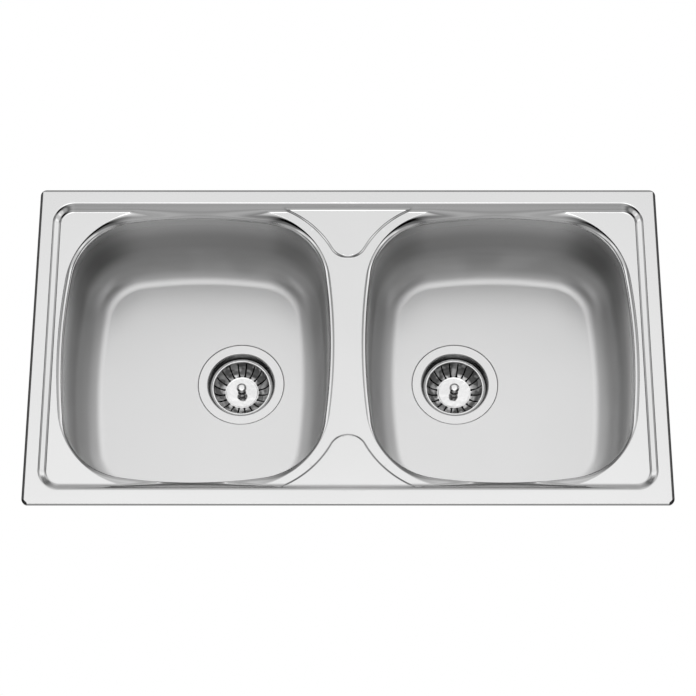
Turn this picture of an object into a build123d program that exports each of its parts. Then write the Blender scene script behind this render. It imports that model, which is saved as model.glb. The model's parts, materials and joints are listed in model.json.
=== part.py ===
from build123d import *
import math
import os

# Double bowl kitchen sink, in millimetres.  X runs along the sink, +Y away from its user, +Z up.
# The origin is the middle of the cut-out, in the plane of the worktop that the rim rests on.

# ---- sheet and rim -------------------------------------------------------------------------
sheet = 0.8                     # stainless steel sheet
sink_length = 800.0             # over the rim, along X
sink_width = 435.0              # over the rim, along Y
outer_corner_radius = 8.0
rim_height = 5.0                # rim's top face above the worktop
rim_roll_radius = 3.0           # rounding where the rim turns down into its lip
lip_gap = 0.5                   # lip's lower edge above the worktop

# ---- recessed deck -------------------------------------------------------------------------
rim_side_width = 19.0           # rim's top face at the sink's short sides
rim_end_width = 20.6            # and along its far and near sides
recess_corner_radius = 26.0
deck_drop = 7.3                 # rim's top face down to the deck, on a 45 degree slope
shoulder_drop = 5.0             # deck down to the bowl's seam
shoulder_steps = 5              # flat bands that round the shoulder
shoulder_power = 1.4            # of the curve across the shoulder; 2 would make it a quarter ellipse
divider_width = 34.3            # flat deck between the shoulders, at its narrowest
deck_side_width = 5.55          # flat deck between a shoulder and the slope at the short sides

# ---- raised pads between the bowls ---------------------------------------------------------
pad_rise = 2.0
pad_depth = 74.9                # from the recess's edge to the pad's tip
pad_tip_radius = 25.0
pad_side_radius = 127.0
pad_side_turn = 61.6            # degrees of tip arc on each side
pad_side_end = 111.0            # direction in which the side arc stops, seen from its centre
pad_overrun = 15.0              # past the deck's edge, inside the slope

# ---- bowls ---------------------------------------------------------------------------------
slope_overrun = 0.2             # slope's foot past the seam at a bowl's far and near ends
bowl_side_radius = 796.0
bowl_end_radius = 595.0
bowl_corner_radius = 90.0
shoulder_width = 6.0            # plan width of the shoulder at a bowl's sides
shoulder_end_width = 12.0       # and at its far and near ends
shoulder_side_radius = 789.0
shoulder_end_radius = 685.0
shoulder_corner_radius = 114.0
bowl_depth = 136.0              # rim's top face to the bowl's floor
bowl_draft = 5.0                # degrees
bowl_bottom_radius = 36.0

# ---- drains --------------------------------------------------------------------------------
drain_offset = 51.65            # drain's middle from its bowl's, towards the sink's middle
recess_seat_radius = 57.0       # pressed seat for the strainer's flange
recess_seat_depth = 3.2
recess_seat_flare = 1.0
flange_radius = 56.4
flange_thickness = 1.2
flange_edge_round = 0.6
throat_radius = 43.6
throat_round = 2.0
throat_taper = 2.0              # narrowing from the flange down to the ledge
ledge_depth = 11.8              # below the flange's top face
ledge_radius = 38.8             # inner edge of the ledge that carries the basket
cup_wall_taper = 0.6            # narrowing from the ledge down to the floor
cup_floor_depth = 42.0
cup_floor_round = 8.0
cup_floor_radius = 25.0         # where the cup's floor turns into the stopper's seat
seat_height = 4.0               # 45 degree seat for the stopper
outlet_bore_radius = 20.0
outlet_thread_radius = 23.9     # G 1 1/2
outlet_shoulder_depth = 49.0
outlet_depth = 68.0
thread_radius = 45.2            # strainer's clamping thread
thread_depth = 20.0
cup_outer_radius = 41.8
drain_hole_clearance = 0.8
gasket_thickness = 1.5
gasket_inset = 0.4              # gasket's edge inside the flange's edge
washer_thickness = 3.0
washer_radius = 57.0
friction_thickness = 1.0
friction_radius = 56.0
ring_clearance = 0.4            # washers round the clamping thread
nut_clearance = 0.05
nut_height = 9.0
nut_radius = 52.0
nut_lug_radius = 60.0
nut_lug_width = 12.0
nut_lugs = 6

# ---- basket, knob and stopper --------------------------------------------------------------
seat_gap = 0.3                  # what rests loosely stands this far off its seat
basket_sheet = 0.8
basket_rim_radius = 41.0
basket_rim_height = 1.6
basket_rim_width = 2.4
basket_rim_rounding = 0.4
basket_wall_radius = 37.4
basket_wall_depth = 13.5
basket_belly_radius = 33.2
basket_belly_depth = 23.6
basket_depth = 27.5             # flange's top face to the basket's disc
disc_radius = 21.5
slots = 20
slot_width = 1.8
slot_inner_radius = 23.4
slot_outer_radius = 36.9
slot_end_radius = 1.5           # round hole at a slot's inner end
knob_radius = 6.5
knob_height = 17.5              # knob's top above the disc
knob_head = 5.0
knob_dome = 1.6
neck_radius = 3.4
knob_foot_radius = 5.5
knob_foot_height = 1.0
stem_radius = 3.1
stem_clearance = 0.05
stem_flange_radius = 8.0
stem_flange_thickness = 1.5
stopper_top_depth = 40.5
stopper_top_radius = 14.0
stopper_edge = 0.8
stopper_cone_drop = 1.0         # cone's wide end below the cup's floor, and inside its edge
stopper_bottom_radius = 12.0

# ---- under the sink ------------------------------------------------------------------------
seal_width = 10.0
seal_inset = 4.0                # seal's outer edge inside the sink's outline
sound_pad_length = 180.0
sound_pad_width = 88.0
sound_pad_thickness = 2.5
sound_pad_offset = 73.0         # from a bowl's middle, away from the drain
sound_pad_corner = 10.0

# ---- clips ---------------------------------------------------------------------------------
clip_inset_x = 46.0             # outer clips' axes inside the recess's edge
clip_inset_y = 15.9
bracket_sheet = 1.5
bracket_width = 20.0
bracket_depth = 14.0
bracket_height = 13.5
screw_radius = 3.0
screw_neck_radius = 2.6
screw_collar_radius = 4.8
screw_collar_height = 2.0
screw_length = 62.0             # bracket's foot to the top of the hexagon head
screw_head_radius = 5.5
screw_head_height = 5.0
screw_slot = 1.2
running_clearance = 0.05
claw_boss_radius = 7.5
claw_boss_height = 9.0
claw_reach = 38.0
claw_width = 12.0
claw_thickness = 6.0
claw_tip_height = 5.0
claw_tip_length = 6.0
claw_teeth = 3

# ---- places that follow from the sizes above -----------------------------------------------
recess_length = sink_length - 2 * rim_side_width
recess_width = sink_width - 2 * rim_end_width
deck_length = recess_length - 2 * deck_drop
shoulder_span = (deck_length - divider_width) / 2 - deck_side_width
bowl_width = shoulder_span - 2 * shoulder_width
bowl_length = recess_width - 2 * (deck_drop + shoulder_drop + slope_overrun)
bowl_spacing = divider_width + shoulder_span
drain_x = bowl_spacing / 2 - drain_offset
pad_tip = recess_width / 2 - pad_depth
clip_reach_x = recess_length / 2 - clip_inset_x
clip_axis_y = recess_width / 2 - clip_inset_y
rim_top = rim_height
deck_top = rim_top - deck_drop
seam_level = deck_top - shoulder_drop
pad_top = deck_top + pad_rise
floor_top = rim_top - bowl_depth
seat_top = floor_top - recess_seat_depth
flange_top = seat_top + gasket_thickness + flange_thickness
root_two = math.sqrt(2.0)


# ---- outlines ------------------------------------------------------------------------------
class Outline:
    """A closed outline of four bulging sides and four round corners, all tangent arcs."""

    def __init__(self, half_x, half_y, side, end, corner):
        self.values = (half_x, half_y, side, end, corner)

    def grown(self, by):
        """The same outline, larger by a distance all round."""
        return Outline(*[value + by for value in self.values])

    def towards(self, other, share):
        """An outline between this one and another."""
        return Outline(*[a + (b - a) * share for a, b in zip(self.values, other.values)])

    def face(self, level):
        half_x, half_y, side, end, corner = self.values
        side_middle = Vector(half_x - side, 0)
        end_middle = Vector(0, half_y - end)
        between = end_middle - side_middle
        span = between.length
        along = ((side - corner) ** 2 - (end - corner) ** 2 + span ** 2) / (2 * span)
        across = math.sqrt((side - corner) ** 2 - along ** 2)
        unit = between.normalized()
        middle = side_middle + unit * along + Vector(-unit.Y, unit.X) * across
        on_side = side_middle + (middle - side_middle).normalized() * side
        on_end = end_middle + (middle - end_middle).normalized() * end
        bisector = ((on_side - middle) + (on_end - middle)).normalized()
        on_corner = middle + bisector * corner
        arcs = []
        for sx, sy in ((1, 1), (-1, 1), (-1, -1), (1, -1)):
            corner_arc = [(sx * p.X, sy * p.Y, level) for p in (on_side, on_corner, on_end)]
            if sx == sy:
                arcs.append(((sx * on_side.X, -sy * on_side.Y, level), (sx * half_x, 0, level), corner_arc[0]))
                arcs.append(corner_arc)
            else:
                arcs.append(((-sx * on_end.X, sy * on_end.Y, level), (0, sy * half_y, level), corner_arc[2]))
                arcs.append(corner_arc[::-1])
        return Face(Wire([edge for points in arcs for edge in ThreePointArc(*points).edges()]))


seam = Outline(bowl_width / 2, bowl_length / 2, bowl_side_radius, bowl_end_radius, bowl_corner_radius)
shoulder = Outline(bowl_width / 2 + shoulder_width, bowl_length / 2 + shoulder_end_width,
                   shoulder_side_radius, shoulder_end_radius, shoulder_corner_radius)


def rounded_plate(length, width, radius, level):
    """Face of a rounded rectangle at a level."""
    return Pos(0, 0, level) * RectangleRounded(length, width, radius)


def turned(*parts):
    """Solid of revolution about Z; the parts are runs and arcs of (radius, 0, height) points."""
    return revolve(Face(Wire([edge for part in parts for edge in part.edges()])), axis=Axis.Z)


def run(*points):
    """Straight runs through (radius, height) points."""
    return Polyline(*[(r, 0, z) for r, z in points])


def bend(start, middle, end):
    """Arc through three (radius, height) points."""
    return ThreePointArc(*[(r, 0, z) for r, z in (start, middle, end)])


def ring(outer, inner, top, height):
    """Flat ring hanging down from a level."""
    return Pos(0, 0, top - height) * (Cylinder(outer, height, align=(Align.CENTER, Align.CENTER, Align.MIN))
                                      - Cylinder(inner, height, align=(Align.CENTER, Align.CENTER, Align.MIN)))


# ---- pressed deck --------------------------------------------------------------------------
def recess(bottom, skin):
    """Space over the 45 degree slope, from the rim down to a level; skin moves it out through the sheet."""
    faces = []
    for level in (rim_top, bottom):
        inset = rim_top - level - skin * root_two
        faces.append(rounded_plate(recess_length - 2 * inset, recess_width - 2 * inset,
                                   recess_corner_radius - inset, level))
    return loft(faces, ruled=True)


def flare(skin):
    """Space over one bowl's rounded shoulder: a quarter superellipse from the deck down to the seam."""
    faces = [shoulder.face(rim_top)]
    for step in range(shoulder_steps + 1):
        angle = math.pi / 2 * step / shoulder_steps
        across = math.sin(angle) ** (2 / shoulder_power)
        height = math.cos(angle) ** (2 / shoulder_power)
        outline = shoulder.towards(seam, across).grown(skin * math.sin(angle))
        level = seam_level + shoulder_drop * height - skin * math.cos(angle)
        faces.append(outline.face(level))
    return loft(faces, ruled=True)


def pad_face(level, grow):
    """One pad's outline, tip towards the middle of the sink, its far end hidden past the slope."""
    turn = math.radians(pad_side_turn)
    stop = math.radians(pad_side_end)
    tip_y = pad_tip + pad_tip_radius
    tip = pad_tip_radius + grow
    side = pad_side_radius - grow
    reach = pad_tip_radius + pad_side_radius
    side_x = reach * math.sin(turn)
    side_y = tip_y - reach * math.cos(turn)
    end_y = recess_width / 2 + pad_overrun
    half = (stop + math.pi / 2 + turn) / 2
    joint = (tip * math.sin(turn), tip_y - tip * math.cos(turn))
    belly = (side_x + side * math.cos(half), side_y + side * math.sin(half))
    stop_point = (side_x + side * math.cos(stop), side_y + side * math.sin(stop))
    edges = [ThreePointArc((-joint[0], joint[1]), (0, tip_y - tip), joint)]
    for s in (1, -1):
        edges.append(ThreePointArc((s * joint[0], joint[1]), (s * belly[0], belly[1]),
                                   (s * stop_point[0], stop_point[1])))
        edges.append(Line((s * stop_point[0], stop_point[1]), (s * stop_point[0], end_y)))
    edges.append(Line((-stop_point[0], end_y), (stop_point[0], end_y)))
    return Pos(0, 0, level) * Face(Wire([edge for part in edges for edge in part.edges()]))


def pad(skin):
    """Space under one pad's face, with 45 degree sides; skin moves it in through the sheet."""
    top = pad_top - skin
    bottom = seam_level
    return loft([pad_face(level, deck_top - level - skin * root_two) for level in (bottom, top)], ruled=True)


def pressed_space(skin):
    """Everything over the pressed deck, grown outwards by the skin's thickness."""
    space = recess(deck_top - skin, skin)
    slope = recess(seam_level, skin)
    for side in (-1, 1):
        space += slope & (Pos(side * bowl_spacing / 2, 0, 0) * flare(skin))
    for turn in (0, 180):
        space -= Rot(0, 0, turn) * pad(skin)
    return space


def deck_panel():
    """Rim, turned-down lip, slope, deck, pads and both shoulders, pressed from one sheet."""
    lip_height = rim_height - lip_gap
    outside = extrude(rounded_plate(sink_length, sink_width, outer_corner_radius, lip_gap), lip_height)
    outside = fillet(outside.faces().sort_by(Axis.Z)[-1].edges(), rim_roll_radius)
    inside = extrude(rounded_plate(sink_length - 2 * sheet, sink_width - 2 * sheet,
                                   outer_corner_radius - sheet, lip_gap), lip_height - sheet)
    inside = fillet(inside.faces().sort_by(Axis.Z)[-1].edges(), rim_roll_radius - sheet)
    return outside - inside + pressed_space(sheet) - pressed_space(0)


# ---- bowls ---------------------------------------------------------------------------------
def basin(skin):
    """Space inside one drawn bowl, grown outwards by the skin's thickness."""
    depth = seam_level - floor_top
    drawn_in = depth * math.tan(math.radians(bowl_draft))
    bottom = floor_top - skin
    lower = seam.grown(skin - drawn_in - skin * math.tan(math.radians(bowl_draft)))
    body = loft([seam.grown(skin).face(seam_level), lower.face(bottom)], ruled=True)
    return fillet(body.faces().sort_by(Axis.Z)[0].edges(), bowl_bottom_radius + skin)


def seat_space(skin):
    """Space over the pressed seat round one drain."""
    height = recess_seat_depth + skin
    radius = recess_seat_radius + skin
    return Pos(0, 0, seat_top - skin) * Cone(radius, radius + recess_seat_flare, height,
                                             align=(Align.CENTER, Align.CENTER, Align.MIN))


def bowl(side):
    """One drawn bowl, its drain nearer to the sink's middle; side is -1 for left and 1 for right."""
    drain = Pos(-side * drain_offset, 0, 0)
    hole = Pos(0, 0, seat_top - sheet) * Cylinder(thread_radius + drain_hole_clearance, 4 * sheet)
    shell = basin(sheet) + drain * seat_space(sheet) - basin(0) - drain * (seat_space(0) + hole)
    return Pos(side * bowl_spacing / 2, 0, 0) * shell


def rim_seal():
    """Foam strip between the rim and the worktop."""
    height = rim_height - sheet
    corner = outer_corner_radius - seal_inset
    outer = rounded_plate(sink_length - 2 * seal_inset, sink_width - 2 * seal_inset, corner, 0)
    inset = seal_inset + seal_width
    inner = Rectangle(sink_length - 2 * inset, sink_width - 2 * inset)
    return extrude(outer - inner, height)


def sound_pad(side):
    """Damping mat stuck under one bowl's floor, beside the drain."""
    mat = RectangleRounded(sound_pad_width, sound_pad_length, sound_pad_corner)
    place = Pos(side * (bowl_spacing / 2 + sound_pad_offset), 0, floor_top - sheet - sound_pad_thickness)
    return extrude(place * mat, sound_pad_thickness)


# ---- strainer ------------------------------------------------------------------------------
def strainer_body():
    """Flanged cup with a ledge for the basket, a seat for the stopper and a threaded outlet."""
    edge = flange_edge_round
    crown = throat_radius + throat_round
    lip = throat_round * (1 - 1 / root_two)
    wall_foot = ledge_radius - cup_wall_taper
    wall_depth = cup_floor_depth - cup_floor_round
    floor_edge = wall_foot - cup_floor_round
    inner = cup_floor_round / root_two
    outer_round = cup_outer_radius - floor_edge
    outer = outer_round / root_two
    seat_depth = cup_floor_depth + seat_height
    mouth = (crown, 0)
    throat = (throat_radius, -throat_round)
    skirt = (cup_outer_radius, -wall_depth)
    base = (floor_edge, -wall_depth - outer_round)
    floor = (floor_edge, -cup_floor_depth)
    wall = (wall_foot, -wall_depth)
    return turned(
        run(mouth, (flange_radius - edge, 0), (flange_radius, -edge), (flange_radius, -flange_thickness),
            (thread_radius, -flange_thickness), (thread_radius, -thread_depth),
            (cup_outer_radius, -thread_depth), skirt),
        bend(skirt, (floor_edge + outer, -wall_depth - outer), base),
        run(base, (outlet_thread_radius, -outlet_shoulder_depth), (outlet_thread_radius, -outlet_depth),
            (outlet_bore_radius, -outlet_depth), (outlet_bore_radius, -seat_depth),
            (cup_floor_radius - seat_height, -seat_depth), (cup_floor_radius, -cup_floor_depth), floor),
        bend(floor, (floor_edge + inner, -wall_depth - inner), wall),
        run(wall, (ledge_radius, -ledge_depth), (throat_radius - throat_taper, -ledge_depth), throat),
        bend(throat, (throat_radius + lip, -lip), mouth))


def lock_nut(top):
    """Ring nut with lugs, turned by hand on the clamping thread."""
    nut = Cylinder(nut_radius, nut_height, align=(Align.CENTER, Align.CENTER, Align.MAX))
    lug = Pos(nut_lug_radius / 2, 0, 0) * Box(nut_lug_radius, nut_lug_width, nut_height,
                                             align=(Align.CENTER, Align.CENTER, Align.MAX))
    for index in range(nut_lugs):
        nut += Rot(0, 0, index * 360 / nut_lugs) * lug
    bore = Cylinder(thread_radius + nut_clearance, nut_height, align=(Align.CENTER, Align.CENTER, Align.MAX))
    return Pos(0, 0, top) * (nut - bore)


def basket():
    """Pressed strainer basket: rolled rim, curved slotted wall and a plain disc."""
    foot = -ledge_depth + seat_gap
    top = foot + basket_rim_height
    inner = basket_wall_radius - basket_sheet
    rim_inner = basket_rim_radius - basket_rim_width
    diagonal = basket_sheet / root_two
    under_disc = -basket_depth - basket_sheet
    hole = stem_radius + stem_clearance
    rounding = basket_rim_rounding
    shell = turned(
        run((disc_radius, under_disc), (hole, under_disc), (hole, -basket_depth), (disc_radius, -basket_depth)),
        bend((disc_radius, -basket_depth), (basket_belly_radius - diagonal, -basket_belly_depth + diagonal),
             (inner, -basket_wall_depth)),
        run((inner, -basket_wall_depth), (inner, foot + basket_sheet), (rim_inner, foot + basket_sheet),
            (rim_inner + rounding, top), (basket_rim_radius - rounding, top),
            (basket_rim_radius, top - rounding), (basket_rim_radius, foot),
            (basket_wall_radius, foot), (basket_wall_radius, -basket_wall_depth)),
        bend((basket_wall_radius, -basket_wall_depth), (basket_belly_radius, -basket_belly_depth),
             (disc_radius, under_disc)))
    low = under_disc - basket_sheet
    high = -basket_wall_depth - low
    lift = (Align.MIN, Align.CENTER, Align.MIN)
    slot = Pos(slot_inner_radius, 0, low) * Box(slot_outer_radius - slot_inner_radius, slot_width, high,
                                               align=lift)
    slot += Pos(slot_inner_radius, 0, low) * Cylinder(slot_end_radius, high,
                                                     align=(Align.CENTER, Align.CENTER, Align.MIN))
    cutter = [Rot(0, 0, (index + 0.5) * 360 / slots) * slot for index in range(slots)]
    return shell - cutter


def knob():
    """Knob, neck and stem in one, with the flange that carries the stopper."""
    top = -basket_depth + knob_height
    head = top - knob_head
    foot = -basket_depth + seat_gap
    flange = -stopper_top_depth + stem_flange_thickness
    half = knob_radius / 2
    cap = (knob_radius ** 2 + knob_dome ** 2) / (2 * knob_dome)
    crest = top - cap + math.sqrt(cap ** 2 - half ** 2)
    return turned(
        bend((0, top), (half, crest), (knob_radius, top - knob_dome)),
        run((knob_radius, top - knob_dome), (knob_radius, head + knob_dome), (neck_radius, head),
            (neck_radius, foot + 2 * knob_foot_height), (knob_foot_radius, foot + knob_foot_height),
            (knob_foot_radius, foot), (stem_radius, foot), (stem_radius, flange),
            (stem_flange_radius, flange), (stem_flange_radius, -stopper_top_depth),
            (0, -stopper_top_depth), (0, top)))


def stopper():
    """Rubber plug whose cone lies parallel to its seat."""
    bottom = -cup_floor_depth - seat_height + seat_gap
    cone_top = -cup_floor_depth - stopper_cone_drop
    off_seat = seat_gap * root_two
    wide = cup_floor_radius - stopper_cone_drop - off_seat
    narrow = cup_floor_radius - seat_height + seat_gap - off_seat
    return turned(run((0, -stopper_top_depth), (stopper_top_radius, -stopper_top_depth),
                      (wide, cone_top + stopper_edge), (wide, cone_top), (narrow, bottom),
                      (stopper_bottom_radius, bottom - stopper_edge), (0, bottom - stopper_edge),
                      (0, -stopper_top_depth)))


# ---- clips ---------------------------------------------------------------------------------
def bracket():
    """Channel welded under the deck; foot at the origin's level, screw axis on Z, open side to +Y."""
    half = bracket_depth / 2
    centred = (Align.CENTER, Align.CENTER, Align.MAX)
    block = Box(bracket_width, bracket_depth, bracket_height, align=centred)
    gap = Pos(0, bracket_sheet, -bracket_sheet) * Box(bracket_width, bracket_depth,
                                                     bracket_height - 2 * bracket_sheet, align=centred)
    hole = Pos(0, 0, -bracket_height) * Cylinder(screw_neck_radius + running_clearance, half)
    return block - gap - hole


def screw():
    """Clamp screw: riveted top, neck in the bracket, collar, shank and slotted hexagon head."""
    tab_top = -bracket_height + bracket_sheet + seat_gap
    tab_foot = -bracket_height - seat_gap
    up = (Align.CENTER, Align.CENTER, Align.MIN)
    down = (Align.CENTER, Align.CENTER, Align.MAX)
    body = Pos(0, 0, tab_top) * Cylinder(screw_collar_radius, screw_collar_height, align=up)
    body += Pos(0, 0, tab_foot) * Cylinder(screw_neck_radius, tab_top - tab_foot, align=up)
    body += Pos(0, 0, tab_foot) * Cylinder(screw_collar_radius, screw_collar_height, align=down)
    body += Pos(0, 0, tab_foot) * Cylinder(screw_radius, tab_foot + screw_length, align=down)
    head = extrude(RegularPolygon(screw_head_radius, 6), -screw_head_height)
    head -= Pos(0, 0, -screw_head_height) * Box(3 * screw_head_radius, screw_slot, screw_head_height)
    return body + Pos(0, 0, -screw_length) * head


def claw():
    """Clamp arm threaded on the screw, pointing to +X, with teeth that bite the worktop from below."""
    foot = -screw_length + seat_gap
    top = foot + claw_boss_height
    boss = Pos(0, 0, foot) * Cylinder(claw_boss_radius, claw_boss_height,
                                      align=(Align.CENTER, Align.CENTER, Align.MIN))
    arm = Pos(0, 0, top) * Box(claw_reach, claw_width, claw_thickness,
                               align=(Align.MIN, Align.CENTER, Align.MAX))
    body = boss + arm
    pitch = claw_tip_length / claw_teeth
    tip_start = claw_reach - claw_tip_length
    outline = [(tip_start - claw_tip_height, top), (tip_start, top + claw_tip_height)]
    for tooth in range(1, claw_teeth):
        outline.append((tip_start + tooth * pitch, top + claw_tip_height - pitch))
        outline.append((tip_start + tooth * pitch, top + claw_tip_height))
    outline += [(claw_reach, top + claw_tip_height - pitch), (claw_reach, top)]
    face = Face(Wire(Polyline(*[(x, claw_width / 2, z) for x, z in outline], close=True).edges()))
    body += extrude(face, claw_width, dir=(0, -1, 0))
    bore = Pos(0, 0, foot) * Cylinder(screw_radius + running_clearance, claw_boss_height,
                                      align=(Align.CENTER, Align.CENTER, Align.MIN))
    return body - bore


# ---- the assembly --------------------------------------------------------------------------
nodes = {"deck_panel": deck_panel(), "rim_seal": rim_seal()}

for name, side in (("left", -1), ("right", 1)):
    at_drain = Pos(side * drain_x, 0, flange_top)
    ring_bore = thread_radius + ring_clearance
    below_flange = -flange_thickness
    below_sheet = below_flange - gasket_thickness - sheet
    below_washer = below_sheet - washer_thickness
    below_friction = below_washer - friction_thickness
    nodes[f"{name}_bowl"] = bowl(side)
    nodes[f"{name}_sound_pad"] = sound_pad(side)
    nodes[f"{name}_strainer_body"] = at_drain * strainer_body()
    nodes[f"{name}_flange_gasket"] = at_drain * ring(flange_radius - gasket_inset, ring_bore,
                                                    below_flange, gasket_thickness)
    nodes[f"{name}_rubber_washer"] = at_drain * ring(washer_radius, ring_bore, below_sheet, washer_thickness)
    nodes[f"{name}_friction_ring"] = at_drain * ring(friction_radius, ring_bore,
                                                    below_washer, friction_thickness)
    nodes[f"{name}_lock_nut"] = at_drain * lock_nut(below_friction)
    nodes[f"{name}_basket"] = at_drain * basket()
    nodes[f"{name}_knob"] = at_drain * knob()
    nodes[f"{name}_stopper"] = at_drain * stopper()

for row, far in (("far", 1), ("near", -1)):
    for place, side in (("left", -1), ("middle", 0), ("right", 1)):
        under = (pad_top if side == 0 else deck_top) - sheet
        stowed = side if side else far
        at_clip = Pos(side * clip_reach_x, far * clip_axis_y, under)
        nodes[f"{row}_{place}_bracket"] = at_clip * Rot(0, 0, 90 - 90 * far) * bracket()
        nodes[f"{row}_{place}_screw"] = at_clip * screw()
        nodes[f"{row}_{place}_claw"] = at_clip * Rot(0, 0, 90 - 90 * stowed) * claw()

os.makedirs("parts", exist_ok=True)
for name, shape in nodes.items():
    export_step(shape, f"parts/{name}.step")
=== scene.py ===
import json
import math

import bmesh
import bpy
import numpy as np
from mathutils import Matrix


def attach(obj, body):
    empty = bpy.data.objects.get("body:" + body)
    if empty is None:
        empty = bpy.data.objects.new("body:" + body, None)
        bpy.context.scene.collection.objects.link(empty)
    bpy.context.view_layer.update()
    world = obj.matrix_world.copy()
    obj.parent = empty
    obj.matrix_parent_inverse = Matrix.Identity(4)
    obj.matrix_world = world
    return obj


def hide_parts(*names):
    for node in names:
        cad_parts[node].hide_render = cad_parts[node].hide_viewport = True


# Double bowl kitchen sink.  Shapes are worked out in millimetres in the frame of the part (X along the
# sink, +Y away from its user, +Z up, origin in the worktop's plane) and put into their meshes in metres.
MM = 0.001

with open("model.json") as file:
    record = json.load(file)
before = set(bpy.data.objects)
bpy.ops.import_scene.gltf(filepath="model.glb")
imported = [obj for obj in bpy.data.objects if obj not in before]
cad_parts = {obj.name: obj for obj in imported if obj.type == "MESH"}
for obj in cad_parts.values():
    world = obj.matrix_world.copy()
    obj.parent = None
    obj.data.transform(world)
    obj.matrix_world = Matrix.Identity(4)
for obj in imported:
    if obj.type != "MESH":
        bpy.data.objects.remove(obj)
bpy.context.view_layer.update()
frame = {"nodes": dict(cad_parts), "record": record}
material_slots = {row["node"]: row["material_slot"] for row in frame["record"]["subparts"]}
bodies = frame["record"]["behaviour"]["bodies"]
body_of = {node: body for body, members in bodies.items() for node in members}

# ---- sizes of the pressed sheet, as the part has them ----
SHEET = 0.8
SINK_LENGTH, SINK_WIDTH, OUTER_CORNER = 800.0, 435.0, 8.0
RIM_TOP, RIM_ROLL, LIP_GAP = 5.0, 3.0, 0.5
RECESS_LENGTH, RECESS_WIDTH, RECESS_CORNER = 762.0, 393.8, 26.0
DECK_TOP, SEAM_LEVEL, FLOOR_TOP = -2.3, -7.3, -131.0
SHOULDER_DROP = DECK_TOP - SEAM_LEVEL
PAD_RISE, PAD_TIP, PAD_TIP_RADIUS, PAD_SIDE_RADIUS = 2.0, 122.0, 25.0, 127.0
PAD_TURN = math.radians(61.6)
BOWL_X, DRAIN_X = 192.65, 141.0
BOWL_DRAFT = math.radians(5.0)
BOWL_BOTTOM_RADIUS = 36.0
SEAT_TOP, SEAT_RADIUS, SEAT_FLARE = -134.2, 56.48, 0.3
DRAIN_HOLE = 46.0
FLANGE_TOP = -131.5
RIM_BEND, FOOT_BEND, PAD_BEND = 2.2, 2.4, 0.7     # half widths over which the creases are rounded
SHOULDER_POWER = 1.3
UPRIGHT = np.array((0.0, 0.0, 1.0))
TURN = 2 * math.pi

# ---- camera ----
CAMERA_AT = (0.0, -1.1307, 2.5264)
CAMERA_TARGET = (0.0, -0.0081, 0.005)
LENS, SENSOR = 113.2, 36.0

camera = bpy.data.objects.new("camera", bpy.data.cameras.new("camera"))
bpy.context.scene.collection.objects.link(camera)
camera.data.lens, camera.data.sensor_width = LENS, SENSOR
camera.data.clip_start, camera.data.clip_end = 0.05, 50.0
back, up = CAMERA_AT[1] - CAMERA_TARGET[1], CAMERA_AT[2] - CAMERA_TARGET[2]
camera.location = CAMERA_AT
camera.rotation_euler = (math.atan2(-back, up), 0.0, 0.0)
bpy.context.scene.camera = camera
bpy.context.scene.view_settings.view_transform = "Standard"


# ---- shader maths ----
class Value:
    """One output socket of a node tree; arithmetic on it adds Math nodes to the tree."""

    def __init__(self, tree, socket):
        self.tree, self.socket = tree, socket

    def node(self, kind, settings, inputs, output=0):
        """A node of any kind: its settings go in first, then the values or links of its inputs."""
        made = self.tree.nodes.new(kind)
        for key, setting in settings.items():
            setattr(made, key, setting)
        for key, value in inputs.items():
            if isinstance(value, Value):
                self.tree.links.new(value.socket, made.inputs[key])
            else:
                made.inputs[key].default_value = value
        return Value(self.tree, made.outputs[output]) if len(made.outputs) else made

    def maths(self, operation, first, second=0.0, clamp=False):
        """A Math node on two numbers or sockets."""
        settings = {"operation": operation, "use_clamp": clamp}
        return self.node("ShaderNodeMath", settings, {0: first, 1: second})

    def __add__(self, other):
        return self.maths("ADD", self, other)

    def __sub__(self, other):
        return self.maths("SUBTRACT", self, other)

    def __rsub__(self, other):
        return self.maths("SUBTRACT", other, self)

    def __mul__(self, other):
        return self.maths("MULTIPLY", self, other)

    def __pow__(self, other):
        return self.maths("POWER", self, other)

    __radd__ = __add__
    __rmul__ = __mul__

    def size(self):
        """The value without its sign."""
        return self.maths("ABSOLUTE", self)

    def at_least(self, other):
        """The larger of two values."""
        return self.maths("MAXIMUM", self, other)

    def axes(self):
        """The coordinate's X, Y and Z."""
        split = self.tree.nodes.new("ShaderNodeSeparateXYZ")
        self.tree.links.new(self.socket, split.inputs[0])
        return [Value(self.tree, output) for output in split.outputs]

    def scaled(self, x, y, z):
        """The coordinate with each axis multiplied."""
        return self.node("ShaderNodeVectorMath", {"operation": "MULTIPLY"}, {0: self, 1: (x, y, z)})

    def noise(self, scale, detail=2.0, roughness=0.5):
        """Noise between 0 and 1 over the coordinate."""
        inputs = {"Vector": self, "Scale": scale, "Detail": detail, "Roughness": roughness}
        return self.node("ShaderNodeTexNoise", {"noise_dimensions": "3D"}, inputs)

    def between(self, low, high):
        """0 at low, 1 at high, eased."""
        return self.node("ShaderNodeMapRange", {"interpolation_type": "SMOOTHSTEP"},
                         {"Value": self, "From Min": low, "From Max": high})

    def bump(self, distance):
        """Normal of a surface raised by this height times a distance in metres."""
        return self.node("ShaderNodeBump", {}, {"Height": self, "Distance": distance, "Strength": 1.0})

    def shade(self, dark, light):
        """Colour between two colours, by this value."""
        return self.node("ShaderNodeMix", {"data_type": "RGBA"},
                         {0: self, 6: (*dark, 1.0), 7: (*light, 1.0)}, output=2)

    def neutral(self):
        """Grey of this brightness."""
        return self.shade(grey(0.0), grey(1.0))


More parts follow.
